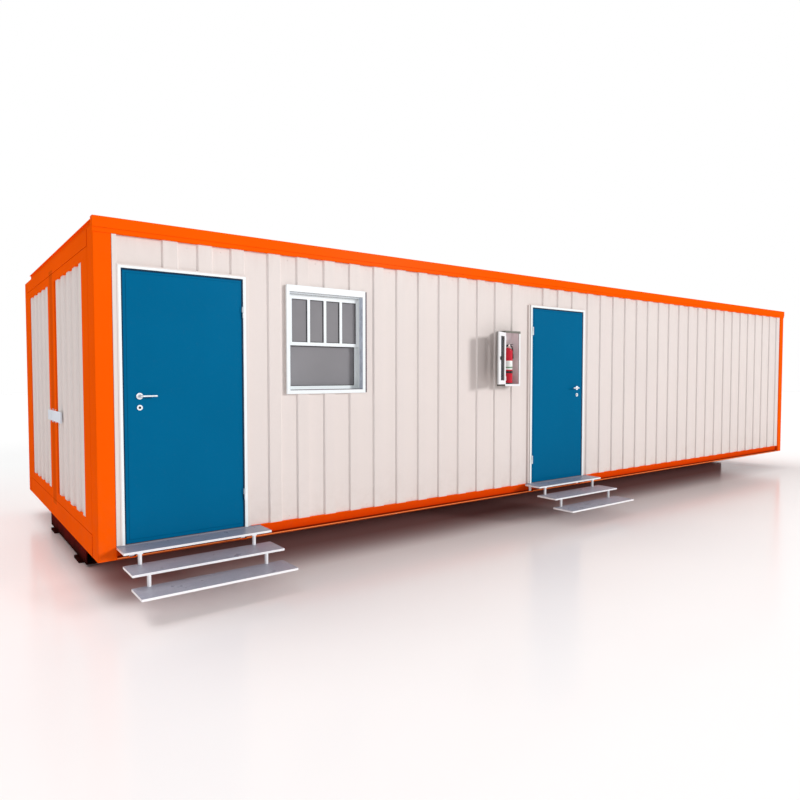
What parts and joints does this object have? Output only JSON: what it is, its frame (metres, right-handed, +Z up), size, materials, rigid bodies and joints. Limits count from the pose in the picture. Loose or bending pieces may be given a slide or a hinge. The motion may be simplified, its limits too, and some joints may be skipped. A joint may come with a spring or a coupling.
{
  "type": "portable site cabin",
  "caption": "Long steel site cabin on skids with corrugated walls, hinged front doors with steps, a sash window and a pair of end doors.",
  "frame": {"origin": "on the ground, midway along and across everything the cabin covers, its steps included", "axes": "+X along the length from the double-door end, +Y from the front with the two doors to the back, +Z up"},
  "size_m": [12.206, 4.732, 2.982],
  "materials": {
    "frame_paint": "orange semi-gloss paint",
    "skid_paint": "dark red oxide primer, matt",
    "floor_board": "sealed boards, satin",
    "lining_board": "white lining, matt",
    "roof_paint": "off-white paint, matt",
    "wall_paint": "off-white paint, satin",
    "door_paint": "blue satin paint",
    "trim_paint": "white satin paint",
    "handle_metal": "brushed",
    "window_frame": "white powder coat, satin",
    "glass": "clear",
    "cabinet_paint": "light grey paint, satin",
    "black_plastic": "moulded, matt",
    "red_paint": "red gloss paint",
    "step_metal": "grey paint, worn",
    "lock_paint": "pale blue-grey paint, satin"
  },
  "bodies": {
    "cabin": {"back_wall": "wall_paint", "bottom_rail_back": "frame_paint", "bottom_rail_front": "frame_paint", "cabinet_body": "cabinet_paint", "ceiling_panel": "lining_board", "door_1_frame": "trim_paint", "door_2_frame": "trim_paint", "end_header_left": "frame_paint", "end_header_right": "frame_paint", "end_sill_left": "frame_paint", "end_sill_right": "frame_paint", "extinguisher_bottle": "red_paint", "extinguisher_head": "black_plastic", "floor_deck": "floor_board", "floor_joists": "skid_paint", "front_wall_corner": "wall_paint", "front_wall_long_bay": "wall_paint", "front_wall_over_door_1": "wall_paint", "front_wall_over_door_2": "wall_paint", "front_wall_window_bay": "wall_paint", "post_back_left": "frame_paint", "post_back_right": "frame_paint", "post_front_left": "frame_paint", "post_front_right": "frame_paint", "right_end_wall": "wall_paint", "roof_panel": "roof_paint", "roof_trim_left": "frame_paint", "roof_trim_right": "frame_paint", "skid_back": "skid_paint", "skid_cross_left": "skid_paint", "skid_cross_right": "skid_paint", "skid_front": "skid_paint", "steps_1_posts": "step_metal", "steps_1_treads": "step_metal", "steps_2_posts": "step_metal", "steps_2_treads": "step_metal", "top_rail_back": "frame_paint", "top_rail_front": "frame_paint", "window_frame": "window_frame", "window_glass": "glass", "window_lower_sash": "window_frame", "window_upper_sash": "window_frame"},
    "door_1": {"door_1_leaf": "door_paint", "door_1_lock": "handle_metal"},
    "door_1_handle": {"door_1_lever": "handle_metal"},
    "door_2": {"door_2_leaf": "door_paint", "door_2_lock": "handle_metal"},
    "door_2_handle": {"door_2_lever": "handle_metal"},
    "cabinet_lid": {"cabinet_door": "cabinet_paint", "cabinet_door_glass": "glass", "cabinet_door_knobs": "black_plastic"},
    "end_door_near": {"end_door_near_frame": "frame_paint", "end_door_near_sheet": "wall_paint", "end_door_near_lock_plate": "lock_paint"},
    "end_door_far": {"end_door_far_frame": "frame_paint", "end_door_far_sheet": "wall_paint", "end_door_far_lock_plate": "lock_paint"}
  },
  "joints": [
    {"name": "door_1_hinge", "type": "hinge", "parent": "cabin", "child": "door_1", "pos_m": [-4.8815, -1.658, 0.416], "axis": [0, 0, 1], "range_deg": [0, 120]},
    {"name": "door_2_hinge", "type": "hinge", "parent": "cabin", "child": "door_2", "pos_m": [-1.0885, -1.658, 0.416], "axis": [0, 0, -1], "range_deg": [0, 120]},
    {"name": "door_1_lever_turn", "type": "hinge", "parent": "door_1", "child": "door_1_handle", "pos_m": [-5.762, -1.6235, 1.594], "axis": [0, 1, 0], "range_deg": [0, 45], "stiffness_Nm_per_rad": 1.5, "springref_deg": -45.84},
    {"name": "door_2_lever_turn", "type": "hinge", "parent": "door_2", "child": "door_2_handle", "pos_m": [-0.208, -1.6235, 1.594], "axis": [0, -1, 0], "range_deg": [0, 45], "stiffness_Nm_per_rad": 1.5, "springref_deg": -45.84},
    {"name": "cabinet_door_hinge", "type": "hinge", "parent": "cabin", "child": "cabinet_lid", "pos_m": [-1.699, -1.778, 1.658], "axis": [0, 0, 1], "range_deg": [-26, 154]},
    {"name": "end_door_near_hinge", "type": "hinge", "parent": "cabin", "child": "end_door_near", "pos_m": [-6.074, -1.423, 0.466], "axis": [0, 0, 1], "range_deg": [0, 95]},
    {"name": "end_door_far_hinge", "type": "hinge", "parent": "cabin", "child": "end_door_far", "pos_m": [-6.074, 2.145, 0.466], "axis": [0, 0, -1], "range_deg": [0, 95]}
  ]
}
